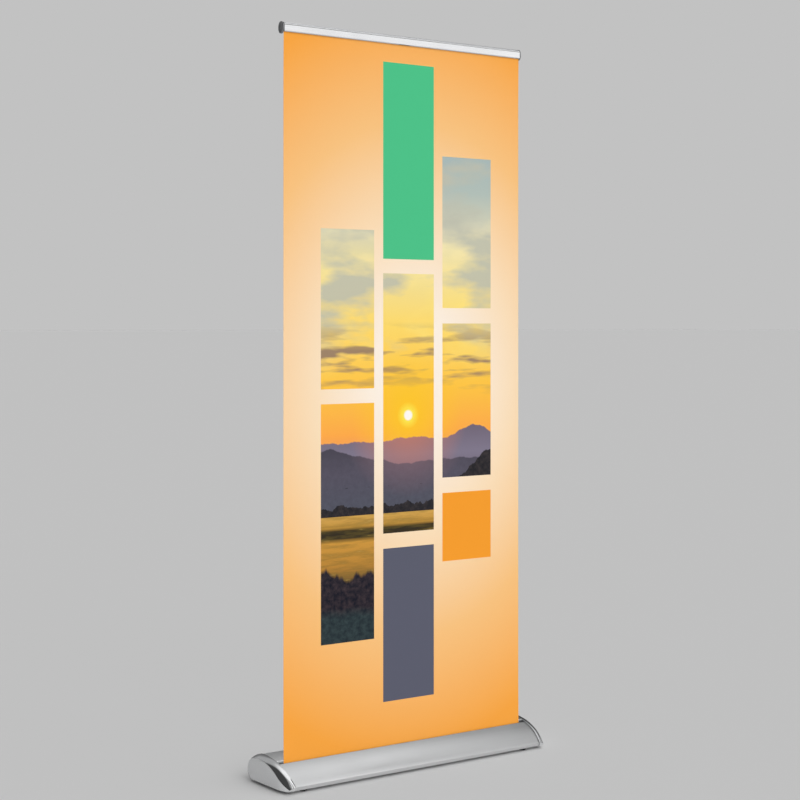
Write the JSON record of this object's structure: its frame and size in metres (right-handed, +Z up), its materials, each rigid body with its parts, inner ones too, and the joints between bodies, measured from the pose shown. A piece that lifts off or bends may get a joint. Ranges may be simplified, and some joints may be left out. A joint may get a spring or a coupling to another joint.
{
  "type": "roll-up banner stand",
  "caption": "Floor-standing roll-up banner with a wide teardrop base, sprung roller, telescoping pole and snap rail that holds a printed film.",
  "frame": {"origin": "on the floor, under the middle of the base", "axes": "+Z up, the printed face looks along -Y, X runs along the base"},
  "size_m": [0.9376, 0.2161, 2.1422],
  "materials": {
    "satin_aluminium": "satin anodised",
    "brushed_rail": "bright, finely brushed",
    "chrome": "polished",
    "satin_grey": "satin metallic grey",
    "zinc_steel": "zinc plated",
    "black_plastic": "moulded",
    "dark_grey_plastic": "moulded",
    "rubber": "matte",
    "printed_film": "matt printed film"
  },
  "bodies": {
    "base": {"front_housing": "satin_aluminium", "rear_housing": "satin_aluminium", "base_plate": "zinc_steel", "end_cap_left": "chrome", "end_cap_right": "chrome", "side_panel_left": "satin_grey", "side_panel_right": "satin_grey", "cap_screw_front_left": "zinc_steel", "cap_screw_front_right": "zinc_steel", "cap_screw_back_left": "zinc_steel", "cap_screw_back_right": "zinc_steel", "spring_shaft": "zinc_steel", "torsion_spring": "zinc_steel", "pole_socket": "black_plastic", "pole_foot_plug": "black_plastic", "pole_lower_tube": "satin_aluminium", "banner_film": "printed_film"},
    "roller": {"roller_tube": "zinc_steel", "film_pack": "printed_film", "roller_plug_left": "black_plastic", "roller_plug_right": "black_plastic"},
    "rail": {"rail_rear": "brushed_rail", "grip_strip": "rubber", "rail_cap_left": "dark_grey_plastic", "rail_cap_right": "dark_grey_plastic"},
    "jaw": {"rail_jaw": "brushed_rail"},
    "pole_middle": {"pole_middle_tube": "satin_aluminium"},
    "pole_upper": {"pole_upper_tube": "satin_aluminium", "pole_tip": "black_plastic"},
    "lower_lock": {"lower_twist_lock": "black_plastic"},
    "upper_lock": {"upper_twist_lock": "black_plastic"},
    "foot_front_left": {"foot_pad_front_left": "rubber", "foot_stud_front_left": "zinc_steel"},
    "foot_front_right": {"foot_pad_front_right": "rubber", "foot_stud_front_right": "zinc_steel"},
    "foot_back_left": {"foot_pad_back_left": "rubber", "foot_stud_back_left": "zinc_steel"},
    "foot_back_right": {"foot_pad_back_right": "rubber", "foot_stud_back_right": "zinc_steel"}
  },
  "joints": [
    {"name": "rail_height", "type": "slide", "parent": "base", "child": "rail", "axis": [0, 0, 1], "range_m": [-1.2, 0], "deforming": ["banner_film"]},
    {"name": "jaw_hinge", "type": "hinge", "parent": "rail", "child": "jaw", "pos_m": [0, -0.0249, 2.13687], "axis": [-1, 0, 0], "range_deg": [0, 60]},
    {"name": "pole_middle_slide", "type": "slide", "parent": "base", "child": "pole_middle", "axis": [0, 0, 1], "range_m": [-0.6, 0]},
    {"name": "pole_upper_slide", "type": "slide", "parent": "pole_middle", "child": "pole_upper", "axis": [0, 0, 1], "range_m": [-0.6, 0]},
    {"name": "roller_turn", "type": "hinge", "parent": "base", "child": "roller", "pos_m": [0, -0.00315, 0.037], "axis": [1, 0, 0], "range_deg": [0, 4000]},
    {"name": "lower_lock_twist", "type": "hinge", "parent": "base", "child": "lower_lock", "pos_m": [0, 0.0025, 0.73566], "axis": [0, 0, 1], "range_deg": [0, 90]},
    {"name": "upper_lock_twist", "type": "hinge", "parent": "pole_middle", "child": "upper_lock", "pos_m": [0, 0.0025, 1.41031], "axis": [0, 0, 1], "range_deg": [0, 90]},
    {"name": "foot_front_left_height", "type": "slide", "parent": "base", "child": "foot_front_left", "axis": [0, 0, -1], "range_m": [0, 0.006]},
    {"name": "foot_front_right_height", "type": "slide", "parent": "base", "child": "foot_front_right", "axis": [0, 0, -1], "range_m": [0, 0.006]},
    {"name": "foot_back_left_height", "type": "slide", "parent": "base", "child": "foot_back_left", "axis": [0, 0, -1], "range_m": [0, 0.006]},
    {"name": "foot_back_right_height", "type": "slide", "parent": "base", "child": "foot_back_right", "axis": [0, 0, -1], "range_m": [0, 0.006]}
  ],
  "couplings": [
    {"joint": "pole_middle_slide", "follows": "rail_height", "ratio": 0.5},
    {"joint": "pole_upper_slide", "follows": "rail_height", "ratio": 0.5},
    {"joint": "roller_turn", "follows": "rail_height", "rad_per_m": -56.18}
  ]
}
